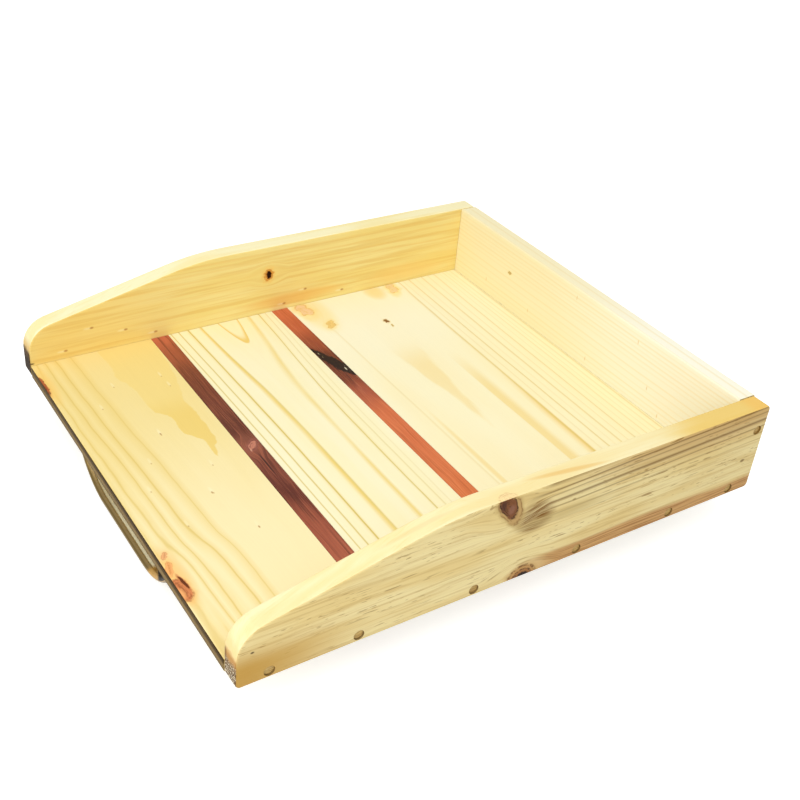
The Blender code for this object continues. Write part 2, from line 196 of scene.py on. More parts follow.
class Finish(Tree):
    """The node tree of one material."""

    def __init__(self, name):
        self.material = bpy.data.materials.new(name)
        self.material.use_nodes = True
        super().__init__(self.material.node_tree)
        self.tree.nodes.clear()

    def place(self):
        return self.add("ShaderNodeTexCoord").outputs["Object"]

    def normal(self):
        return self.add("ShaderNodeNewGeometry").outputs["Normal"]

    def split(self, vector):
        return self.add("ShaderNodeSeparateXYZ", {0: vector}).outputs

    def stretch(self, vector, scale):
        return self.out("ShaderNodeMapping", {"Vector": vector, "Scale": scale})

    def noise(self, vector, scale=1.0, detail=2.0, roughness=0.5):
        inputs = {"Vector": vector, "Scale": scale, "Detail": detail, "Roughness": roughness}
        return self.add("ShaderNodeTexNoise", inputs).outputs["Fac"]

    def smooth(self, value, low, high, start=0.0, end=1.0):
        """A soft step from start to end as the value goes from low to high."""
        inputs = {"Value": value, "From Min": low, "From Max": high, "To Min": start, "To Max": end}
        return self.add("ShaderNodeMapRange", inputs, interpolation_type="SMOOTHSTEP").outputs["Result"]

    def sway(self, noise, amount):
        """A 0 to 1 noise as a swing of plus or minus about half the amount."""
        return self.times(self.minus(noise, 0.5), amount)

    def mix(self, factor, a, b):
        """A colour mix; colours may be sRGB tuples or sockets."""
        made = self.add("ShaderNodeMix", data_type="RGBA")
        self.feed(made.inputs["Factor"], factor)
        for name, value in (("A", a), ("B", b)):
            socket = [s for s in made.inputs if s.name == name and s.type == "RGBA"][0]
            self.feed(socket, linear(value) if isinstance(value, tuple) else value)
        return [s for s in made.outputs if s.type == "RGBA"][0]

    def ramp(self, value, stops, interpolation="EASE"):
        """A grey profile from (position, grey) stops, or a colour one from (position, sRGB) stops."""
        made = self.add("ShaderNodeValToRGB", {"Fac": value})
        made.color_ramp.interpolation = interpolation
        elements = made.color_ramp.elements
        while len(elements) < len(stops):
            elements.new(1.0)
        for element, (position, level) in zip(elements, stops):
            element.position = position
            element.color = linear(level) if isinstance(level, tuple) else (level, level, level, 1.0)
        return made.outputs["Color"]

    def course(self, value, points):
        """A smooth curve through (value, level) points."""
        low, high = points[0][0], points[-1][0]
        levels = [level for _, level in points]
        floor_level, span = min(levels), (max(levels) - min(levels)) or 1.0
        along = self.math("DIVIDE", self.minus(value, low), high - low, clamp=True)
        made = self.add("ShaderNodeFloatCurve", {"Value": along})
        profile = made.mapping.curves[0]
        scaled = [((at - low) / (high - low), (level - floor_level) / span) for at, level in points]
        profile.points[0].location, profile.points[1].location = scaled[0], scaled[-1]
        for at, level in scaled[1:-1]:
            profile.points.new(at, level)
        made.mapping.update()
        return self.times_plus(made.outputs[0], span, floor_level)

    def bell(self, a, b, centre, reach):
        """1 at a centre, falling to 0 at the reach."""
        da = self.over(self.minus(a, centre[0]), reach[0])
        db = self.over(self.minus(b, centre[1]), reach[1])
        square = self.plus(self.times(da, da), self.times(db, db))
        return self.smooth(square, 0.0, 1.0, 1.0, 0.0)

    def finish(self, colour, roughness, height, lift, **fixed):
        """Ends the tree in one Principled shader; fixed values go on its own sockets."""
        shader = self.add("ShaderNodeBsdfPrincipled", {"Base Color": colour, "Roughness": roughness})
        for name, value in fixed.items():
            self.feed(shader.inputs[name.replace("_", " ")], value)
        bump = self.add("ShaderNodeBump", {"Height": height, "Distance": lift, "Strength": 0.6})
        self.feed(shader.inputs["Normal"], bump.outputs["Normal"])
        output = self.add("ShaderNodeOutputMaterial")
        self.feed(output.inputs["Surface"], shader.outputs[0])
        return self.material


class Board(Finish):
    """A sawn board: u mm along its grain, v mm across it, w mm into its thickness."""

    def __init__(self, name, along, across, through, corner, seed):
        super().__init__(name)
        shifted = self.add("ShaderNodeVectorMath", {0: self.place(), 1: corner}, operation="SUBTRACT")
        in_mm = self.add("ShaderNodeVectorMath", {0: shifted.outputs[0], "Scale": 1 / MM}, operation="SCALE")
        parts = self.split(in_mm.outputs[0])
        self.facing = self.split(self.normal())
        self.u, self.v, self.w = parts[along], parts[across], parts[through]
        self.end_face = self.smooth(self.size_of(self.facing[along]), 0.6, 0.9)
        self.seed = seed
        self.rings = self.v

    def stretched(self, across, length, width, depth, shift=0.0):
        """Coordinates drawn out along the grain."""
        return self.vector(
            self.times_plus(self.u, 1 / length, self.seed + shift),
            self.over(across, width),
            self.over(self.w, depth),
        )

    def wander(self, amount, length=180.0, width=45.0):
        """Lets the rings drift across the board along its length."""
        drift = self.sway(self.noise(self.stretched(self.v, length, width, width), detail=1.5), 2 * amount)
        ripple = self.sway(
            self.noise(self.stretched(self.v, length / 4, width / 3, width), detail=1.0), amount / 2,
        )
        self.rings = self.plus(self.rings, self.plus(drift, ripple))

    def lean(self, amount):
        """Slants the rings through the thickness, so that faces and ends share them."""
        self.rings = self.times_plus(self.w, amount, self.rings)

    def part_round(self, knot, radius, pull=0.75):
        """Spreads the rings where they pass a knot."""
        near = self.bell(self.u, self.v, knot, (radius * 4.5, radius * 3.0))
        away = self.minus(self.rings, knot[1])
        self.rings = self.minus(self.rings, self.times(away, near, pull))

    def lines(self, low, high, places):
        """How dark the late wood is, from (place, half width, strength) in mm across the board."""
        across = self.over(self.minus(self.rings, low), high - low)
        late = None
        for first in range(0, len(places), 9):
            stops = [(0.0, 0.0)]
            for place, half, strength in places[first:first + 9]:
                for offset, level in ((-half, 0.0), (0.0, strength), (half * 0.7, 0.0)):
                    position = (place + offset - low) / (high - low)
                    stops.append((min(max(position, stops[-1][0] + 0.0005), 0.9995), level))
            profile = self.ramp(across, stops + [(1.0, 0.0)], "LINEAR")
            late = profile if late is None else self.most(late, profile)
        return late

    def fibres(self, length=60.0, width=0.55):
        """Fine streaks along the grain, 0 to 1."""
        return self.noise(self.stretched(self.rings, length, width, width * 2), detail=3.0, roughness=0.6)

    def clouds(self, length=110.0, width=22.0, shift=3.7):
        """Broad patches of tone, 0 to 1."""
        return self.noise(self.stretched(self.rings, length, width, width, shift))

    def dashes(self, length=9.0, width=1.1, share=0.62, shift=0.0):
        """Short resin dashes along the grain, in patches."""
        fine = self.noise(self.stretched(self.rings, length, width, 4.0, shift), detail=1.0, roughness=0.4)
        patches = self.clouds(70.0, 16.0, shift + 8.0)
        return self.times(self.smooth(fine, share, share + 0.08), self.smooth(patches, 0.40, 0.62))

    def knot(self, colour, centre, size, heart, rim, halo, turn=0.0, spread=1.9, crust=0.8, solid=1.0,
             torn=1.0, plane=None):
        """Paints a knot: a mottled heart, a broken rim and a warm halo that fades into the grain."""
        a, b = plane or (self.u, self.v)
        da, db = self.minus(a, centre[0]), self.minus(b, centre[1])
        c, s = cos(radians(turn)), sin(radians(turn))
        along = self.times_plus(da, c, self.times(db, s))
        across = self.times_plus(db, c, self.times(da, -s))
        coarse = self.vector(self.over(da, max(size)), self.over(db, max(size)), self.seed)
        bends, chips = self.noise(coarse, 1.3, 1.0), self.noise(coarse, 4.5, 3.0, 0.7)
        shake = self.plus(self.sway(bends, min(size) * 1.5 * torn), self.sway(chips, min(size) * 0.4 * torn))
        a_part = self.over(self.plus(along, shake), size[0])
        b_part = self.over(self.minus(across, shake), size[1])
        far = self.math("SQRT", self.times_plus(a_part, a_part, self.times(b_part, b_part)))
        veins = self.noise(self.vector(self.times(far, 2.2), self.over(across, size[1]), self.seed), 2.0, 3.0)
        colour = self.tint(colour, self.smooth(far, spread, 0.9), 0.85, halo)
        inside = self.tint(heart, self.smooth(veins, 0.45, 0.68), 0.7, rim)
        colour = self.tint(colour, self.smooth(far, 1.08, 0.84), solid, inside)
        edge = self.times(
            self.smooth(self.size_of(self.minus(far, 1.0)), 0.16, 0.03), self.smooth(chips, 0.34, 0.60),
            crust,
        )
        return self.mix(edge, colour, rim)

    def knots(self, colour, *rows):
        """Several knots; each row is place, size, heart, rim, halo, then turn, spread, crust, solid, torn."""
        for row in rows:
            colour = self.knot(colour, *row)
        return colour

    def stain(self, colour, centre, reach, tint, strength=0.8):
        """A soft patch of another tone, drawn out along the grain."""
        return self.tint(colour, self.bell(self.u, self.v, centre, reach), strength, tint)

    def pin_knots(self, colour, places, tint, strength=0.7, size=(1.5, 0.9)):
        """Tiny dark points, each with a pale tail along the grain."""
        for u, v in places:
            colour = self.stain(colour, (u - 4.0, v), (6.0, 1.6), TAIL_CREAM, 0.35)
            colour = self.stain(colour, (u, v), size, tint, strength)
        return colour

    def ring_arcs(self):
        """The curved rings that a saw-cut end shows, 0 to 1."""
        up, across = self.minus(self.v, 58.0), self.plus(self.w, 34.0)
        bow = self.math("SQRT", self.times_plus(up, up, self.times(across, across)))
        bow = self.plus(bow, self.sway(self.noise(self.vector(self.u, self.v, self.w), scale=0.06), 9.0))
        return self.smooth(self.math("FRACT", self.over(bow, 4.6)), 0.30, 1.0)

    def end_grain(self, colour):
        """Saw-cut ends: ring arcs and dark pores over a tan face."""
        arcs = self.ring_arcs()
        pores = self.noise(self.vector(self.u, self.v, self.w), scale=0.9, detail=3.0, roughness=0.75)
        cut = self.tint(END_TAN, arcs, 0.45, END_DARK)
        cut = self.tint(cut, self.smooth(pores, 0.50, 0.66), 0.8, END_DARK)
        return self.mix(self.end_face, colour, cut)

    def tint(self, colour, mask, strength, tone):
        """Another tone where a 0 to 1 mask lies."""
        return self.mix(self.times(mask, strength), colour, tone)

    def oiled(self, colour, fibre, late, gloss=0.46, specular=0.25):
        """A thin rubbed oil over grain that stands very slightly proud."""
        roughness = self.times_plus(fibre, 0.14, gloss)
        height = self.times_plus(late, 0.5, fibre)
        return self.finish(colour, roughness, height, 0.00015, Specular_IOR_Level=specular)


def floor_board(name, seed):
    """Floor boards run from the left side panel; v is measured from the tray's front."""
    return Board(name, 0, 1, 2, (FLOOR_LEFT, FRONT, BASE), seed)


def front_plank_pine():
    """Butter-toned pine: a torn amber field, rising waves, pin knots and bark along the open edge."""
    b = floor_board("front_plank_pine", 1.3)
    rise = b.course(b.u, [
        (0, 0), (80, 0.13), (133, 0.25), (187, 0.40), (240, 0.50), (290, 0.63), (330, 0.88), (FLOOR_SPAN, 1),
    ])
    swell = b.course(b.v, [(0, 1), (11, 10), (20, 17), (30, 18), (46, 25), (70, 22), (125, 12)])
    b.rings = b.minus(b.v, b.times(rise, swell))
    b.wander(1.6, 60, 18)
    b.lean(0.5)
    waves = b.lines(0, 60, [(6, 4, 0.65), (11.5, 4, 0.75), (19.5, 5, 0.8), (30, 6, 0.85), (45, 9, 0.75)])
    fibre = b.fibres()
    cloud = b.clouds(150, 30)
    tone = b.plus(b.sway(cloud, 0.5), b.smooth(b.u, 40, 380))
    colour = b.mix(b.smooth(tone, 0, 1), (243, 222, 152), (249, 235, 184))
    colour = b.tint(colour, waves, 0.62, (233, 204, 114))
    crest = b.lines(0, 60, [(6, 1, 0.5), (11.5, 1, 0.6), (19.5, 1, 0.7), (30, 1.1, 0.75), (45, 1.1, 0.5)])
    colour = b.tint(colour, crest, 0.8, (216, 186, 92))
    # The amber field lies between two torn edges that meet in a point
    torn = b.sway(b.noise(b.vector(b.over(b.u, 11), b.over(b.v, 6), 2), detail=3), 5)
    lower = b.course(b.u, [
        (0, 64.7), (40, 66.5), (53, 64.7), (67, 70), (88, 73.2), (104, 73.2), (120, 75.3), (133, 83.9),
        (144, 85.5), (157, 84.7), (171, 91), (184, 97), (197, 96.7), (210, 101),
    ])
    upper = b.course(b.u, [
        (0, 122), (61, 118), (101, 110.5), (115, 107.3), (139, 108.7), (184, 107.3), (192, 102.5), (210, 99),
    ])
    height = b.plus(b.v, torn)
    field = b.times(
        b.smooth(b.minus(height, lower), -0.6, 0.9),
        b.smooth(b.minus(upper, height), -0.6, 1.2),
        b.smooth(b.u, 210, 207),
    )
    colour = b.tint(colour, field, 0.6, (242, 215, 128))
    tongue = b.times(field, b.smooth(b.plus(b.u, torn), 96, 140))
    colour = b.tint(colour, tongue, 0.55, (236, 203, 104))
    colour = b.tint(colour, fibre, 0.10, OLIVE_SHADE)
    spots = [
        (87, 105), (68, 104), (217, 88.5), (252, 73), (157, 66.5), (67, 57), (97, 35), (192, 42.5),
        (282, 37), (228, 27.5),
    ]
    colour = b.pin_knots(colour, spots, (190, 148, 82), 0.6)
    colour = b.pin_knots(colour, [(308, 87), (251, 72), (155, 66.5)], (172, 124, 62), 0.75, (2.2, 1.1))
    colour = b.stain(colour, (40, 2), (46, 11), (242, 204, 116), 0.8)
    colour = b.stain(colour, (332, 5), (46, 13), (246, 196, 118), 0.75)
    colour = b.knots(
        colour,
        ((36, 0), (17, 3), (178, 98, 56), (84, 40, 22), (236, 176, 92), 4, 1.6),
        ((306, 6), (4.5, 2.4), (232, 166, 112), (176, 104, 62), (246, 206, 140), -25, 1.9, 0.5, 0.8),
        ((322, 3.4), (9, 3.2), (240, 170, 104), (196, 112, 56), (247, 202, 128), -14, 1.8, 0.4, 0.85),
        ((346, 3), (13, 6.6), (214, 134, 84), (146, 82, 48), (246, 194, 118), 8, 1.6, 0.5),
    )
    colour = b.stain(colour, (351, 1), (8, 3.6), (238, 172, 108), 0.8)
    colour = b.knot(colour, (340, 7.2), (8, 1.3), (112, 60, 34), (78, 40, 22), (196, 116, 68), 10, 1.8, 0.5)
    # Painted shade over the edge's own darker tone: the front face is dark brown in bands through the
    # thickness and darker towards the left, as a face turned from the light.
    front_face = b.smooth(b.times(b.facing[1], -1), 0.5, 0.9)
    edge_tone_and_shade = b.ramp(b.over(b.w, FLOOR_THICKNESS), [
        (0, (62, 46, 20)), (0.12, (78, 60, 30)), (0.24, (138, 114, 72)), (0.46, (142, 118, 74)),
        (0.60, (92, 70, 32)), (0.74, (62, 44, 10)), (0.92, (56, 38, 8)), (1, (92, 66, 24)),
    ], "LINEAR")
    edge_tone_and_shade = b.mix(b.smooth(b.u, 230, 20, 0, 0.35), edge_tone_and_shade, (92, 74, 40))
    edge_tone_and_shade = b.tint(edge_tone_and_shade, b.smooth(b.clouds(60, 8), 0.4, 0.7), 0.30, (96, 78, 44))
    colour = b.mix(front_face, colour, edge_tone_and_shade)
    return b.oiled(b.end_grain(colour), fibre, waves, 0.50, 0.06)


def middle_plank_pine():
    """Bright sapwood with crisp golden lines that open round a small tongue at the left side."""
    b = floor_board("middle_plank_pine", 5.1)
    fade = b.course(b.u, [(0, 1), (50, 0.72), (105, 0.34), (160, 0.10), (240, 0), (FLOOR_SPAN, 0.02)])
    part = b.course(
        b.v, [(138, -3), (152, -3.5), (168, -5), (184, -12), (206, 0), (226, 17), (240, 11), (256, 8)],
    )
    b.rings = b.minus(b.v, b.times(fade, part))
    b.wander(0.9, 130, 50)
    b.lean(0.35)
    thin = b.lines(136, 262, [
        (143.5, 0.9, 0.45), (150.5, 1.2, 0.85), (159, 1.3, 0.9), (170, 1.5, 1), (189.8, 1.6, 0.5),
        (235.4, 1.4, 0.8), (244.6, 1.3, 0.45), (251, 1.2, 0.25),
    ])
    broad = b.lines(136, 262, [(170, 4, 0.35), (188.5, 4.6, 1), (217.5, 4.4, 0.85), (236, 4, 0.3)])
    broad = b.times(broad, b.smooth(b.clouds(150, 40, 1), 0.30, 0.52, 0.55, 1))
    # The tongue: a rounded arch of late wood open to the left
    away = b.minus(b.v, 205.8)
    arch = b.times_plus(b.times(away, away), 0.36, b.u)
    arch = b.plus(arch, b.sway(b.noise(b.stretched(b.v, 30, 9, 20)), 5))
    stroke = b.times(b.smooth(arch, 28, 44), b.smooth(arch, 49, 45.5))
    fibre = b.fibres(90)
    colour = b.mix(b.smooth(b.clouds(160, 18), 0.35, 0.7), CREAM_PINE, (249, 240, 194))
    colour = b.tint(colour, broad, 0.9, (235, 203, 94))
    colour = b.tint(colour, thin, 0.95, GOLD_LINE)
    colour = b.tint(colour, stroke, 0.9, (236, 202, 104))
    colour = b.tint(colour, fibre, 0.08, OLIVE_SHADE)
    return b.oiled(b.end_grain(colour), fibre, thin)


def rear_plank_pine():
    """A wide pale board: soft knots at the left, an amber leaf and band, straight lines at the back."""
    b = floor_board("rear_plank_pine", 9.4)
    slope = b.course(b.u, [(0, 1), (100, 0.62), (200, 0.42), (300, 0.16), (FLOOR_SPAN, 0)])
    swing = b.course(b.v, [(264, 0), (380, 1), (412, 10), (432, 6), (448, 8), (466, 8), (482, 3), (502, 1)])
    b.rings = b.minus(b.v, b.times(slope, swing))
    for place, radius in (((68, 358), 3), ((13, 290), 7), ((9, 403), 6), ((50, 302), 3.5)):
        b.part_round(place, radius)
    b.wander(1, 150, 50)
    b.lean(0.4)
    thin = b.lines(262, 506, [
        (303.5, 1.6, 0.35), (412.5, 2.2, 0.75), (421, 1.2, 0.35), (430.5, 1.5, 0.8), (438, 1.1, 0.25),
        (445.5, 1.5, 0.75), (453.5, 1.1, 0.35), (462.3, 1.4, 0.65), (470, 1.1, 0.3), (477.5, 1.3, 0.5),
        (484, 1.1, 0.3), (490.5, 1.3, 0.45), (497.5, 1.6, 0.6),
    ])
    fibre = b.fibres(80)
    cloud = b.clouds(180, 34)
    straw = b.smooth(b.v, 405, 430)
    base = b.mix(b.smooth(cloud, 0.35, 0.7), CREAM_PINE, (250, 239, 194))
    base = b.mix(b.smooth(b.u, 190, 40, 0, 0.7), base, (250, 247, 220))
    colour = b.tint(base, straw, 0.4, PALE_PINE)
    band = b.times(b.smooth(b.rings, 383, 384.5), b.smooth(b.rings, 397.5, 389), b.smooth(b.u, 140, 230))
    colour = b.tint(colour, band, 0.62, (240, 210, 122))
    warm = b.times(b.smooth(b.rings, 404, 411.5), b.smooth(b.rings, 415.5, 412.5), b.smooth(b.u, 180, 290))
    colour = b.tint(colour, warm, 0.62, (238, 202, 106))
    leaf_edge = b.times_plus(b.u, -0.105, 16 + 0.105 * 140)
    leaf_edge = b.plus(leaf_edge, b.sway(b.clouds(40, 10, 6), 10))
    leaf = b.times(
        b.smooth(b.minus(leaf_edge, b.size_of(b.minus(b.v, 346))), 0, 5),
        b.smooth(b.u, 110, 165),
    )
    colour = b.tint(colour, leaf, 0.52, (243, 216, 140))
    streak = b.times(b.bell(b.u, b.v, (330, 304.5), (120, 3.5)), 0.6)
    colour = b.mix(streak, colour, (242, 214, 132))
    colour = b.mix(b.times(thin, b.smooth(b.u, 0, 120, 0.75, 1)), colour, (218, 188, 88))
    colour = b.tint(colour, fibre, 0.08, OLIVE_SHADE)
    colour = b.stain(colour, (8, 380), (22, 15), (244, 216, 138), 0.75)
    colour = b.stain(colour, (22, 298), (52, 22), (247, 226, 160), 0.7)
    colour = b.knots(
        colour,
        ((12, 290), (13, 7.5), (238, 200, 160), (224, 178, 96), (244, 220, 146), 8, 2.2, 0.8, 0.75),
        ((50, 301), (8, 4.5), (236, 198, 112), (214, 168, 84), (246, 224, 154), -35, 2, 0.7, 0.8),
        ((9, 403), (11, 5.5), (232, 200, 164), (226, 184, 88), (246, 226, 150), -12, 2.2, 0.7, 0.6),
        ((68.5, 358.5), (3.6, 2.6), (150, 104, 50), (84, 54, 24), (240, 214, 150), 10, 1.8),
        ((79, 359.5), (2.6, 1.1), (206, 178, 108), (182, 150, 84), (244, 228, 170), -10),
    )
    return b.oiled(b.end_grain(colour), fibre, thin)


def front_cedar():
    """Dark red-brown heartwood, redder at both ends, with a small pinkish knot past its middle."""
    b = floor_board("front_strip_cedar", 2.2)
    b.wander(2.5, 70, 14)
    b.part_round((208, 131), 5)
    fibre = b.fibres(45, 0.5)
    along = b.plus(b.u, b.sway(b.clouds(60, 12), 50))
    colour = b.ramp(b.over(along, FLOOR_SPAN), [
        (0, (198, 106, 74)), (0.08, (160, 84, 56)), (0.18, (118, 60, 40)), (0.30, (108, 54, 38)),
        (0.42, (94, 46, 32)), (0.48, (136, 78, 58)), (0.56, (108, 54, 40)), (0.66, (94, 42, 30)),
        (0.76, (150, 78, 56)), (1, (186, 106, 78)),
    ])
    streak = b.smooth(b.fibres(90, 3), 0.50, 0.68)
    colour = b.tint(colour, streak, 0.60, (70, 30, 18))
    colour = b.tint(colour, b.smooth(fibre, 0.45, 0.70), 0.45, (192, 112, 80))
    colour = b.knot(colour, (206, 132), (7.5, 3.6), (190, 122, 98), (96, 48, 40), (146, 84, 70), -40)
    colour = b.stain(colour, (212, 127.5), (3, 1), (216, 160, 130), 0.8)
    colour = b.stain(colour, (236, 131), (22, 1.3), CEDAR_BLACK, 0.8)
    return b.oiled(colour, fibre, streak, 0.40, 0.15)


def rear_cedar():
    """Orange-red cedar with a long black knot a third of the way along."""
    b = floor_board("rear_strip_cedar", 7.9)
    b.wander(2.5, 70, 14)
    fibre = b.fibres(45, 0.6)
    along = b.plus(b.u, b.sway(b.clouds(60, 12), 30))
    colour = b.ramp(b.over(along, FLOOR_SPAN), [
        (0, (206, 112, 74)), (0.10, (188, 94, 62)), (0.18, (142, 68, 48)), (0.24, (84, 40, 30)),
        (0.34, (92, 42, 32)), (0.40, (158, 80, 58)), (0.52, (210, 112, 68)), (1, (214, 120, 66)),
    ])
    streak = b.smooth(b.fibres(90, 2.6), 0.50, 0.70)
    colour = b.tint(colour, streak, 0.45, (158, 74, 34))
    colour = b.tint(colour, b.smooth(fibre, 0.50, 0.35), 0.40, (176, 88, 44))
    colour = b.tint(colour, b.smooth(fibre, 0.52, 0.70), 0.40, (238, 156, 104))
    slanted = b.times_plus(b.minus(b.u, 112), -0.30, b.minus(b.v, 265.5))
    ragged = b.sway(b.noise(b.stretched(b.v, 9, 3.5, 9), detail=3, roughness=0.65), 9)
    gap = b.size_of(b.plus(slanted, ragged))
    width = b.course(b.u, [(84, 0), (93, 2.6), (106, 5.2), (124, 6.4), (136, 4.6), (147, 0)])
    black = b.smooth(b.minus(width, gap), -1.6, 0.8)
    colour = b.tint(colour, black, 0.97, (30, 15, 12))
    pale = b.smooth(b.noise(b.stretched(b.v, 5, 1.6, 5, 4), detail=2), 0.60, 0.68)
    bark = b.most(b.bell(b.u, b.v, (131, 272), (9, 3.6)), b.bell(b.u, b.v, (99, 261), (8, 2.4)))
    colour = b.mix(b.times(b.smooth(bark, 0.2, 0.6), pale), colour, (214, 196, 156))
    colour = b.stain(colour, (131.5, 271.5), (3.6, 0.9), (232, 220, 190), 0.9)
    return b.oiled(colour, fibre, streak, 0.40, 0.15)


def back_wall_pine():
    """Quiet straw-coloured board with faint straight lines and a few pin knots."""
    b = Board("back_wall_pine", 0, 2, 1, (FLOOR_LEFT, wall_low.y, BASE), 12.6)
    b.wander(1.2, 240, 50)
    b.lean(0.8)
    heights = (17, 22, 27.5, 34, 41, 48, 56, 61, 66, 70.5, 75, 79.5, 84, 90, 97)
    late = b.lines(0, 110, [(v, 1.5, 0.35 + 0.16 * (i % 3)) for i, v in enumerate(heights)])
    fibre = b.fibres(100)
    across_wall = b.plus(b.smooth(b.u, 60, 400), b.sway(b.clouds(220, 26), 0.6))
    colour = b.mix(b.smooth(across_wall, 0, 1), (247, 236, 192), (253, 249, 226))
    colour = b.tint(colour, late, 0.62, (240, 214, 142))
    colour = b.tint(colour, fibre, 0.07, OLIVE_SHADE)
    colour = b.knot(colour, (97, 55), (3, 1.8), (206, 176, 106), (172, 140, 76), (242, 222, 158))
    for spot in ((205, 79), (297, 77), (135, 28), (232, 22), (320, 38), (340, 18), (59, 29)):
        colour = b.stain(colour, spot, (0.9, 3.4), (222, 188, 116), 0.6)
    return b.oiled(b.end_grain(colour), fibre, late)


def side_board(name, side, seed):
    """Side panels run from the front; v is the height above their undersides."""
    low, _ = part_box("side_panel_" + side)
    return Board(name, 1, 2, 0, (low.x, FRONT, BASE), seed)


def bored_walls(b, side, flank):
    """1 on the walls of the holes that the plugs fill."""
    walls = None
    for name in nodes:
        if "plug_" + side in name:
            low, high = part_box(name)
            centre = (((low.y + high.y) / 2 - FRONT) / MM, ((low.z + high.z) / 2 - BASE) / MM)
            near = b.bell(b.u, b.v, centre, HOLE_REACH)
            walls = near if walls is None else b.most(walls, near)
    return b.times(walls, b.smooth(flank, 0.85, 0.45), b.smooth(b.v, 0.4, 1.2))


def rough_end(b, flank, crown, worn_band_and_sheen, rough_face, flake, speck):
    """The front end of a side panel: the crown rolls over the nose, worn below it, then rough sawn."""
    shift = b.sway(b.noise(b.vector(b.over(b.w, 6), b.over(b.v, 6)), detail=2), 6)
    height = b.plus(b.v, shift)
    pores = b.noise(b.vector(b.u, b.v, b.w), scale=0.70, detail=3, roughness=0.7)
    rough = b.mix(b.smooth(pores, 0.52, 0.60), rough_face, flake)
    rough = b.mix(b.smooth(pores, 0.50, 0.43), rough, speck)
    # The worn band goes darker towards the panel's inner side.
    darker_inward = b.mix(b.smooth(b.w, 6, 1.5, 0, 0.6), worn_band_and_sheen, speck)
    lower = b.mix(b.smooth(height, 16, 23), rough, darker_inward)
    lower = b.mix(b.smooth(b.u, 10, 6), b.flank_colour, lower)
    front = b.mix(b.smooth(height, 25, 31), lower, crown)
    rear = b.smooth(b.facing[1], 0.6, 0.9)
    sawn = b.tint(END_TAN, b.ring_arcs(), 0.5, SAWN_RING)
    front = b.mix(rear, front, sawn)
    arris = b.times(
        b.smooth(flank, 0.25, 0.5), b.smooth(flank, 0.98, 0.8), b.smooth(b.u, 4, 2),
        b.smooth(b.v, 27, 20),
    )
    grain = b.smooth(b.fibres(70, 1.4), 0.44, 0.64)
    underside = b.tint(UNDERSIDE_TAN, grain, 0.6, UNDERSIDE_GRAIN)
    front = b.mix(b.smooth(b.times(b.facing[2], -1), 0.5, 0.8), front, underside)
    colour = b.mix(b.smooth(flank, 0.45, 0.85), front, b.flank_colour)
    return b.tint(colour, arris, 0.7, ARRIS_BROWN)


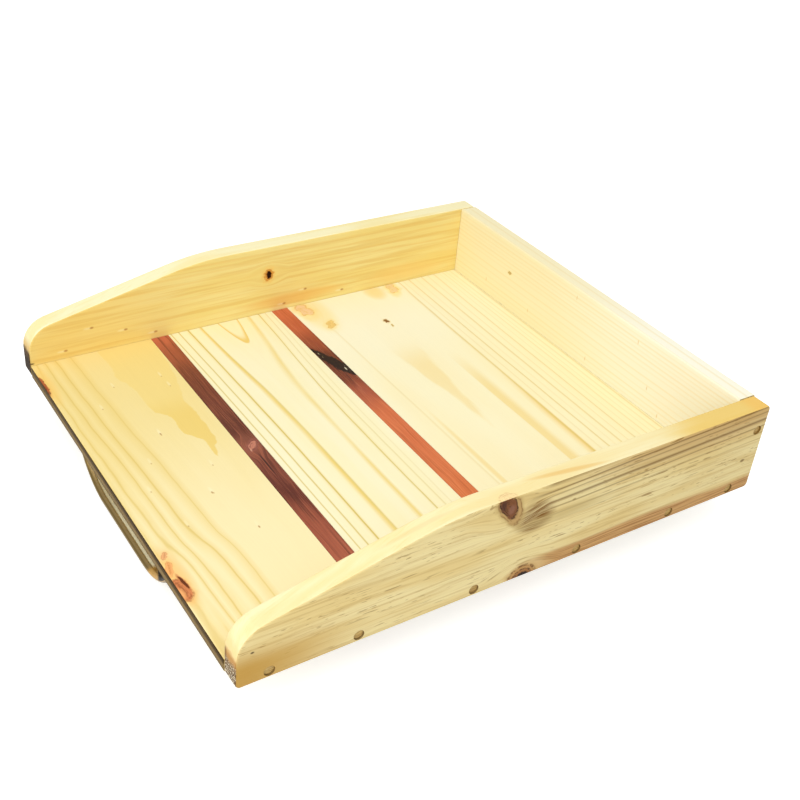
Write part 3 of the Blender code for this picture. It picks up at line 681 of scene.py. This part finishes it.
def right_side_pine():
    """Olive-toned outer face: dashes, a big knot at the top, half a knot below and a ruddy heart band."""
    b = side_board("right_side_pine", "right", 15.2)
    b.part_round((229, 80), 10)
    b.part_round((252, 1), 10)
    b.wander(2.6, 220, 50)
    b.lean(0.9)
    fan = b.times_plus(b.minus(b.u, SIDE_LENGTH), -0.030, b.rings)
    b.rings, level_rings = fan, b.rings
    top_lines = b.lines(60, 120, [
        (73, 1.2, 0.25), (80, 1.2, 0.45), (87, 1.3, 0.7), (93.5, 2.6, 0.85), (100.5, 1.4, 0.6),
        (105.5, 1.6, 0.85), (113, 3.2, 0.75),
    ])
    b.rings = level_rings
    late = b.times(top_lines, b.smooth(b.u, 236, 275))
    fibre = b.fibres(50, 0.7)
    grey = b.smooth(b.fibres(70, 2.2), 0.46, 0.66)
    dash = b.most(b.dashes(share=0.65), b.dashes(22, 2, 0.65, 5))
    cloud = b.clouds(120, 18)
    face = b.mix(b.smooth(cloud, 0.35, 0.7), (253, 236, 176), (243, 218, 150))
    face = b.tint(face, grey, 0.36, (198, 160, 86))
    face = b.stain(face, (450, 96), (190, 40), (202, 154, 84), 0.65)
    face = b.tint(face, late, 0.95, (112, 74, 24))
    face = b.tint(face, fibre, 0.22, OLIVE_SHADE)
    face = b.tint(face, dash, 0.66, (140, 98, 38))
    amber = b.times(b.smooth(b.u, 120, 4), b.smooth(b.v, 46, 16))
    face = b.tint(face, amber, 0.95, (198, 154, 72))
    low_edge = b.plus(b.v, b.sway(cloud, 14))
    heart = b.times(b.smooth(b.u, 235, 290), b.smooth(low_edge, 18, 12))
    ruddy = b.mix(b.smooth(b.fibres(60, 1.6), 0.40, 0.66), (210, 164, 104), (166, 114, 62))
    face = b.tint(face, heart, 0.95, ruddy)
    smudge = b.times(b.bell(b.u, b.v, (256, 61), (24, 19)), b.smooth(b.fibres(30, 1.5), 0.36, 0.58, 0.35, 1))
    face = b.mix(smudge, face, (128, 84, 26))
    face = b.stain(face, (285, 54), (60, 7), (196, 172, 112), 0.5)
    face = b.stain(face, (12.5, 31), (2, 1.3), (60, 40, 20), 0.9)
    face = b.stain(face, (496, 35), (3.4, 2.2), (120, 92, 50), 0.8)
    face = b.stain(face, (295, 64), (2.6, 1.6), (150, 124, 72), 0.7)
    face = b.knots(
        face,
        ((229, 79.5), (19, 8.4), (196, 158, 100), (140, 102, 56), (198, 168, 106), -60, 1.6, 0.7, 0.75),
        ((227, 82), (14, 6.2), KNOT_RED, KNOT_DARK, (164, 118, 72), -60, 1.3, 1),
    )
    face = b.stain(face, (222, 84), (3.6, 8), (70, 40, 28), 0.8)
    face = b.stain(face, (230.5, 77), (4.5, 6), (150, 104, 82), 0.7)
    face = b.knots(
        face,
        ((252, -1), (14, 12.5), (196, 150, 90), (118, 80, 42), (206, 166, 104), 0, 1.5, 0.9, 0.9, 0.25),
        ((252.5, 0), (9.5, 7.6), (166, 116, 66), (84, 52, 28), (180, 132, 80), 0, 1.2, 0.9, 1, 0.3),
        ((253, 0.5), (5.6, 3.6), (34, 20, 12), (24, 14, 8), (96, 62, 34), 0, 1.4),
    )
    inner = b.mix(b.smooth(cloud, 0.35, 0.7), (247, 227, 150), (245, 218, 134))
    inner = b.tint(inner, late, 0.4, AMBER)
    inner = b.tint(inner, fibre, 0.14, OLIVE_SHADE)
    crown = b.mix(b.smooth(cloud, 0.4, 0.65), (245, 233, 184), (242, 224, 164))
    crown = b.tint(crown, b.smooth(b.fibres(120, 1.6), 0.5, 0.7), 0.30, (240, 212, 136))
    orange = b.smooth(b.plus(b.u, b.sway(cloud, 60)), 385, 440)
    crown = b.tint(crown, orange, 0.85, (234, 198, 102))
    crown = b.mix(b.smooth(b.u, 486, 502, 0, 0.7), crown, (240, 192, 98))
    golden = b.times(b.smooth(b.v, 42, 33), b.smooth(b.u, 30, 12))
    crown = b.tint(crown, golden, 0.6, (242, 206, 130))
    sweep = b.times_plus(b.minus(b.u, 250), -0.13, b.w)
    crown = b.tint(crown, b.bell(b.u, sweep, (290, 6), (46, 3.4)), 0.7, (232, 190, 112))
    crown = b.tint(crown, b.bell(b.u, b.w, (150, 9), (40, 3)), 0.35, (238, 196, 132))
    crown = b.knot(
        crown, (226, 17.5), (8, 5.5), (246, 218, 160), (200, 146, 100), (244, 222, 160), 0, 1.7, 0.4, 0.7,
        0.5, plane=(b.u, b.w),
    )
    b.flank_colour = b.mix(b.smooth(b.facing[0], -0.3, 0.3), inner, face)
    flank = b.size_of(b.facing[0])
    colour = rough_end(b, flank, crown, (192, 142, 74), (132, 98, 50), (246, 236, 206), (48, 32, 14))
    colour = b.mix(bored_walls(b, "right", flank), colour, HOLE_BROWN)
    return b.oiled(colour, fibre, late, specular=0.10)


def left_side_pine():
    """Golden inner face with one black-hearted knot, pin knots and a reddish streak low down."""
    b = side_board("left_side_pine", "left", 18.5)
    b.part_round((253, 57), 6)
    b.wander(2.6, 220, 50)
    b.lean(0.7)
    late = b.lines(20, 120, [
        (31, 1.8, 0.3), (38, 1.6, 0.35), (46, 2, 0.4), (53, 1.6, 0.3), (62, 2, 0.45), (71, 1.8, 0.5),
        (79, 2.2, 0.75), (87, 2.2, 0.8), (96, 2.4, 0.7),
    ])
    fibre = b.fibres(60, 0.7)
    cloud = b.clouds(120, 20)
    face = b.mix(b.smooth(cloud, 0.35, 0.7), (247, 228, 154), (245, 221, 138))
    face = b.mix(b.smooth(b.u, 190, 20, 0, 0.55), face, (242, 206, 116))
    face = b.tint(face, late, 0.55, (236, 198, 108))
    face = b.tint(face, b.smooth(b.fibres(130, 4.2), 0.46, 0.66), 0.42, (228, 186, 92))
    face = b.tint(face, fibre, 0.16, OLIVE_SHADE)
    face = b.stain(face, (285, 24), (75, 9), (236, 188, 98), 0.75)
    face = b.stain(face, (425, 26), (60, 13), (243, 206, 120), 0.6)
    tiny = [(297, 31), (272, 19), (343, 20), (127, 20), (96, 30), (62, 40), (35, 21)]
    face = b.pin_knots(face, tiny, (176, 116, 54), 0.75, (2.6, 1.6))
    face = b.stain(face, (1, 14.6), (4, 1.4), (70, 44, 24), 0.8)
    face = b.knots(
        face,
        ((253, 57), (6.6, 5), (226, 164, 74), (190, 116, 44), (242, 202, 112), 90, 1.9, 0.7),
        ((253.2, 57), (4.4, 2.6), (44, 22, 10), (30, 14, 6), (150, 84, 34), 96, 1.5),
    )
    crown = b.mix(b.smooth(cloud, 0.4, 0.65), (249, 240, 194), (247, 232, 172))
    crown = b.tint(crown, b.smooth(b.fibres(120, 1.6), 0.5, 0.7), 0.25, (242, 214, 138))
    golden = b.times(b.smooth(b.v, 40, 31), b.smooth(b.u, 30, 12))
    crown = b.tint(crown, golden, 0.8, (226, 184, 106))
    b.flank_colour = face
    flank = b.size_of(b.facing[0])
    # This end is given far darker colours than the right panel's end: painted shade, as the face is turned
    # from the light.
    colour = rough_end(b, flank, crown, (84, 60, 30), (38, 26, 12), (84, 62, 32), (20, 12, 6))
    colour = b.mix(bored_walls(b, "left", flank), colour, HOLE_BROWN)
    return b.oiled(colour, fibre, late, specular=0.04)


def plug_pine():
    """Face-grain plugs, streaked along their grain."""
    n = Finish("plug_pine")
    grain = n.noise(n.stretch(n.place(), (300.0, 120.0, 1200.0)), detail=3.0, roughness=0.65)
    colour = n.mix(n.smooth(grain, 0.35, 0.68), (216, 184, 108), (162, 120, 58))
    return n.finish(colour, n.times_plus(grain, 0.15, 0.5), grain, 0.0002)


def pull_metal():
    """Brass with painted light: a highlight along the bar, a golden reflection at its near end, a dark
    reflection and shadow on the bend beside it.
    """
    n = Finish("pull_metal")
    place = n.place()
    brush = n.noise(n.stretch(place, (18.0, 900.0, 900.0)), detail=2.0, roughness=0.6)
    x, y, _ = n.split(place)
    upward = n.split(n.normal())[2]
    forward = n.over(n.minus(PULL_Y, y), PULL_WIDTH / 2)
    forward = n.plus(forward, n.sway(brush, 0.06))
    # Painted reflections across the bar: a cream highlight from its middle line a third of the way to its
    # front edge, dark olive behind it and towards the front edge.
    colour = n.ramp(forward, [
        (0.0, (120, 100, 60)), (0.05, (255, 244, 206)), (0.18, (255, 250, 220)), (0.32, (255, 248, 215)),
        (0.46, (176, 152, 108)), (0.72, (140, 118, 76)), (0.88, (112, 92, 50)), (1.0, (140, 122, 84)),
    ])
    # This mask marks the painted highlight strip, left non-metallic so that it reads pale; it fades out
    # towards the bar's ends.
    worn_band_and_sheen = n.ramp(forward, [(0.0, 0.0), (0.05, 1.0), (0.32, 1.0), (0.44, 0.0)], "LINEAR")
    worn_band_and_sheen = n.times(worn_band_and_sheen, n.smooth(x, -0.075, 0.0, 0.4, 1.0), n.smooth(x, 0.062, 0.056))
    # A painted golden reflection on the upward side of the bar's near end.
    golden = n.smooth(x, 0.052, 0.060)
    colour = n.mix(n.times(golden, n.smooth(upward, -0.6, 0.0)), colour, (200, 156, 82))
    # A painted dark reflection and shadow on the upward side of the near bend, next to the board.
    painted_dark_bend = n.smooth(n.times_plus(forward, -0.020, x), 0.056, 0.062)
    painted_dark_bend = n.times(painted_dark_bend, n.smooth(upward, -0.25, 0.10), n.smooth(x, 0.100, 0.094))
    colour = n.mix(n.times(brush, 0.25), colour, (104, 86, 50))
    colour = n.mix(painted_dark_bend, colour, (18, 10, 6))
    # Where light is painted in, the bar is not metallic.
    matt = n.most(worn_band_and_sheen, painted_dark_bend)
    metallic = n.minus(0.9, n.times(matt, 0.9))
    return n.finish(
        colour, n.times_plus(brush, 0.10, 0.24), brush, 0.00002, Metallic=metallic,
        Specular_IOR_Level=0.05,
    )


def screw_steel():
    """Zinc-plated steel with slight unevenness."""
    n = Finish("screw_steel")
    plating = n.noise(n.place(), scale=900.0, detail=2.0)
    colour = n.mix(plating, (168, 166, 158), (206, 204, 198))
    return n.finish(colour, n.times_plus(plating, 0.15, 0.25), plating, 0.00003, Metallic=1.0)


def dress(node_name, material):
    data = nodes[node_name].data
    if not data.materials:
        data.materials.append(material)
    for index in range(len(data.materials)):
        data.materials[index] = material


def dress_all(steel):
    woods = {
        "front_plank": front_plank_pine, "front_cedar_strip": front_cedar, "middle_plank": middle_plank_pine,
        "rear_cedar_strip": rear_cedar, "rear_plank": rear_plank_pine, "back_wall": back_wall_pine,
        "side_panel_right": right_side_pine, "side_panel_left": left_side_pine,
    }
    for name, make in woods.items():
        dress(name, make())
    plug = plug_pine()
    for name in nodes:
        if "plug" in name:
            dress(name, plug)
        elif "screw" in name:
            dress(name, steel)


class Shape(Tree):
    """A geometry tree with named sizes."""

    def __init__(self, name, sizes):
        super().__init__(bpy.data.node_groups.new(name, "GeometryNodeTree"))
        face = self.tree.interface
        face.new_socket("Geometry", in_out="OUTPUT", socket_type="NodeSocketGeometry")
        face.new_socket("Geometry", in_out="INPUT", socket_type="NodeSocketGeometry")
        self.keys = {}
        for label in sizes:
            made = face.new_socket(label, in_out="INPUT", socket_type="NodeSocketFloat")
            self.keys[label] = made.identifier
        self.given = self.add("NodeGroupInput").outputs
        self.sizes = sizes

    def move(self, geometry, x=0.0, y=0.0, z=0.0, scale=(1.0, 1.0, 1.0)):
        inputs = {"Geometry": geometry, "Translation": self.vector(x, y, z), "Scale": self.vector(*scale)}
        return self.out("GeometryNodeTransform", inputs)

    def cone(self, low_radius, high_radius, depth, around):
        inputs = {"Vertices": around, "Radius Top": high_radius, "Radius Bottom": low_radius, "Depth": depth}
        return self.add("GeometryNodeMeshCone", inputs).outputs["Mesh"]

    def block(self, x, y, z):
        return self.add("GeometryNodeMeshCube", {"Size": self.vector(x, y, z)}).outputs["Mesh"]

    def circle(self, sides, radius):
        inputs = {"Resolution": sides, "Radius": radius}
        return self.out("GeometryNodeCurvePrimitiveCircle", inputs)

    def sweep(self, path, profile):
        inputs = {"Curve": path, "Profile Curve": profile, "Fill Caps": True}
        return self.out("GeometryNodeCurveToMesh", inputs)

    def join(self, *pieces):
        return self.out("GeometryNodeJoinGeometry", {"Geometry": list(reversed(pieces))})

    def union(self, *pieces):
        inputs = {"Mesh 2": list(pieces)}
        made = self.add("GeometryNodeMeshBoolean", inputs, operation="UNION", solver="EXACT")
        return made.outputs["Mesh"]

    def less(self, body, *cutters):
        inputs = {"Mesh 1": body, "Mesh 2": list(cutters)}
        made = self.add("GeometryNodeMeshBoolean", inputs, operation="DIFFERENCE", solver="EXACT")
        return made.outputs["Mesh"]

    def grow(self, name, points, edges, result, material):
        """Runs the tree on a few points and keeps the plain mesh that it makes."""
        whole = self.out("GeometryNodeRealizeInstances", {"Geometry": result})
        dressed = self.out("GeometryNodeSetMaterial", {"Geometry": whole, "Material": material})
        output = self.add("NodeGroupOutput")
        self.feed(output.inputs[0], dressed)
        start = bpy.data.meshes.new(name)
        start.from_pydata(points, edges, [])
        item = bpy.data.objects.new(name, start)
        bpy.context.scene.collection.objects.link(item)
        modifier = item.modifiers.new(name, "NODES")
        modifier.node_group = self.tree
        for label, key in self.keys.items():
            modifier[key] = self.sizes[label]
        evaluated = item.evaluated_get(bpy.context.evaluated_depsgraph_get())
        mesh = bpy.data.meshes.new_from_object(evaluated)
        item.modifiers.clear()
        item.data = mesh
        for polygon in mesh.polygons:
            polygon.use_smooth = True
        mesh.set_sharp_from_angle(angle=radians(32))
        return item


def cross_head_screws(name, replaced, sizes, steel):
    """Countersunk screws with a cross recess and a thread, one at each replaced node, heads down."""
    places = []
    for node in replaced:
        low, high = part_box(node)
        places.append(((low.x + high.x) / 2, (low.y + high.y) / 2, low.z))
    s = Shape(name, sizes)
    given = s.given
    head = s.cone(given["Head radius"], given["Shank radius"], given["Head height"], AROUND)
    shank_top = s.minus(given["Length"], given["Point"])
    core = s.times(given["Shank radius"], CORE_SHARE)
    shank = s.move(s.cone(core, core, shank_top, CORE_SIDES), z=given["Head height"])
    point = s.cone(core, TIP_RADIUS, given["Point"], CORE_SIDES)
    tip = s.move(point, z=s.plus(given["Head height"], shank_top))
    wing = s.times(given["Head radius"], SLOT_LENGTH)
    slot = s.times(given["Head radius"], SLOT_WIDTH)
    deep = s.times(given["Head height"], SLOT_DEPTH)
    body = s.less(s.union(head, shank, tip), s.block(wing, slot, deep), s.block(slot, wing, deep))
    threaded = s.times(shank_top, THREAD_SHARE)
    helix = s.add("GeometryNodeCurveSpiral", {
        "Resolution": 16, "Rotations": s.over(threaded, given["Pitch"]),
        "Start Radius": core, "End Radius": core, "Height": threaded,
    }).outputs[0]
    thread = s.sweep(helix, s.circle(4, s.times(given["Shank radius"], RIDGE_SHARE)))
    lift = s.times_plus(shank_top, THREAD_START, given["Head height"])
    screw = s.join(body, s.move(thread, z=lift))
    inputs = {"Points": given["Geometry"], "Instance": screw}
    repeated = s.out("GeometryNodeInstanceOnPoints", inputs)
    item = s.grow(name, places, [], repeated, steel)
    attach(item, "root")
    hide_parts(*replaced)
    return item


def bend(before, corner, after, radius, step=radians(3)):
    """Points round a corner between two straight runs in one plane."""
    back, ahead = (before - corner).normalized(), (after - corner).normalized()
    half = back.angle(ahead) / 2
    reach = radius / tan(half)
    start, end = corner + back * reach, corner + ahead * reach
    centre = corner + (back + ahead).normalized() * radius / sin(half)
    turn = (start - centre).angle_signed(end - centre)
    count = max(2, round(abs(turn) / step))
    arm = start - centre
    return [centre + Matrix.Rotation(-turn * i / count, 2) @ arm for i in range(count + 1)]


def pull_bow(metal):
    """The pull as a smooth oval bar swept along its bow, on two round-ended feet with countersunk holes."""
    foot = Vector((PULL_CENTRES / 2, 0.0))
    elbow = Vector((PULL_ELBOW, -PULL_DROP))
    end = foot + (foot - elbow).normalized() * PULL_THICKNESS
    right = bend(Vector((0.0, -PULL_DROP)), elbow, foot, PULL_BEND_RADIUS) + [end]
    path = [Vector((-p.x, p.y)) for p in reversed(right)] + right
    points = [(p.x, PULL_Y, BASE + p.y) for p in path]
    s = Shape("pull_bow", {
        "Width": PULL_WIDTH, "Thickness": PULL_THICKNESS,
        "Foot length": FOOT_LENGTH, "Foot thickness": FOOT_THICKNESS,
    })
    given = s.given
    curve = s.out("GeometryNodeMeshToCurve", {"Mesh": given["Geometry"]})
    upright = s.out("GeometryNodeSetCurveNormal", {"Curve": curve}, mode="Z_UP")
    oval = s.move(s.circle(AROUND, 0.5), scale=(given["Width"], given["Thickness"], 1.0))
    bar = s.sweep(upright, oval)
    radius = s.times(given["Width"], 0.5)
    reach = s.minus(s.times(given["Foot length"], 0.5), radius)
    low = BASE - SEAT_GAP
    feet, holes = [], []
    for direction in (-1, 1):
        middle = direction * (PULL_CENTRES / 2 - FOOT_OVERLAP + FOOT_LENGTH / 2)
        discs = []
        for shift in (-1.0, 1.0):
            x = s.times_plus(reach, shift, middle)
            wide = s.cone(radius, radius, s.minus(given["Foot thickness"], FOOT_ROUNDING), AROUND)
            thin_radius = s.minus(radius, FOOT_ROUNDING)
            thin = s.cone(thin_radius, thin_radius, given["Foot thickness"], AROUND)
            base_z = s.minus(low, given["Foot thickness"])
            discs.append(s.move(wide, x, PULL_Y, s.plus(base_z, FOOT_ROUNDING)))
            discs.append(s.move(thin, x, PULL_Y, base_z))
        feet.append(s.out("GeometryNodeConvexHull", {"Geometry": s.join(*discs)}))
        outer = direction * (PULL_CENTRES / 2 - FOOT_OVERLAP + FOOT_LENGTH - PULL_SCREW_INSET)
        countersink = s.cone(COUNTERSINK_RADIUS, PULL_HOLE_RADIUS, COUNTERSINK_DEPTH, AROUND)
        shaft = s.cone(PULL_HOLE_RADIUS, PULL_HOLE_RADIUS, CUT_THROUGH, AROUND)
        cut_depth = s.plus(given["Foot thickness"], CUT_CLEARANCE)
        holes.append(s.move(countersink, outer, PULL_Y, s.minus(low, cut_depth)))
        holes.append(s.move(shaft, outer, PULL_Y, s.minus(low, given["Foot thickness"])))
    trim = s.move(s.block(*TRIM_BLOCK), 0.0, PULL_Y, low + TRIM_BLOCK[2] / 2)
    body = s.less(s.union(bar, *feet), trim, *holes)
    edges = [(i, i + 1) for i in range(len(points) - 1)]
    item = s.grow("pull_bow", points, edges, body, metal)
    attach(item, "root")
    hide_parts("pull_handle")
    return item


def place_camera():
    """The photograph's viewpoint, with its optical axis through the middle of the frame."""
    turn = Vector(CAMERA_TURN)
    rows = Matrix.Rotation(turn.length, 3, turn.normalized())
    right, down, forward = rows[0], rows[1], rows[2]
    axes = Matrix((right, -down, -forward)).transposed().to_4x4()
    camera = bpy.data.objects.new("camera", bpy.data.cameras.new("camera"))
    camera.data.sensor_width = SENSOR_MM
    camera.data.lens = FOCAL_PIXELS * SENSOR_MM / IMAGE_PIXELS
    camera.data.clip_start = CLIP_START
    camera.matrix_world = Matrix.Translation(Vector(CAMERA_PLACE) + Vector((0, 0, BASE))) @ axes
    bpy.context.scene.collection.objects.link(camera)
    bpy.context.scene.camera = camera


def area_light(name, place, target, size, power):
    lamp = bpy.data.lights.new(name, "AREA")
    lamp.shape = "SQUARE"
    lamp.size = size
    lamp.energy = power
    item = bpy.data.objects.new(name, lamp)
    item.location = place
    item.rotation_euler = (Vector(target) - Vector(place)).to_track_quat("-Z", "Y").to_euler()
    bpy.context.scene.collection.objects.link(item)


def studio():
    """A white sky for the camera and a soft one for the rest, with one lamp overhead and one in front."""
    world = bpy.data.worlds.new("studio")
    world.use_nodes = True
    tree = Tree(world.node_tree)
    world.node_tree.nodes.clear()
    sky = tree.out("ShaderNodeBackground", {"Strength": SKY_STRENGTH, "Color": WHITE})
    seen = tree.out("ShaderNodeBackground", {"Strength": 1.0, "Color": WHITE})
    either = tree.out("ShaderNodeMixShader", {0: tree.shown(), 1: sky, 2: seen})
    output = tree.add("ShaderNodeOutputWorld")
    tree.feed(output.inputs["Surface"], either)
    bpy.context.scene.world = world
    area_light("overhead", **OVERHEAD_LAMP)
    area_light("before_the_front", **FRONT_LAMP)


def floor():
    """A pale floor that shows white to the camera, keeps a light shadow and is clear from below."""
    mesh = bpy.data.meshes.new("studio_floor")
    corners = [(x * FLOOR_HALF, y * FLOOR_HALF, 0) for x, y in ((-1, -1), (1, -1), (1, 1), (-1, 1))]
    mesh.from_pydata(corners, [], [(0, 1, 2, 3)])
    item = bpy.data.objects.new("studio_floor", mesh)
    bpy.context.scene.collection.objects.link(item)
    n = Finish("studio_floor")
    diffuse = n.out("ShaderNodeBsdfDiffuse", {"Color": FLOOR_GREY})
    glow = n.out("ShaderNodeEmission", {"Color": WHITE, "Strength": FLOOR_GLOW})
    shown = n.shown()
    both = n.out("ShaderNodeAddShader", {0: diffuse, 1: glow})
    either = n.out("ShaderNodeMixShader", {0: shown, 1: diffuse, 2: both})
    clear = n.out("ShaderNodeBsdfTransparent")
    below = n.add("ShaderNodeNewGeometry").outputs["Backfacing"]
    one_sided = n.out("ShaderNodeMixShader", {0: below, 1: either, 2: clear})
    output = n.add("ShaderNodeOutputMaterial")
    n.feed(output.inputs["Surface"], one_sided)
    mesh.materials.append(n.material)


bpy.context.scene.view_settings.view_transform = "Standard"
place_camera()
studio()
floor()
steel = screw_steel()
dress_all(steel)
metal = pull_metal()
dress("pull_handle", metal)
pull_bow(metal)
cross_head_screws("base_screws", ["base_screw_1", "base_screw_2", "base_screw_3"], BASE_SCREW, steel)
cross_head_screws("pull_screws", ["pull_screw_left", "pull_screw_right"], PULL_SCREW, steel)
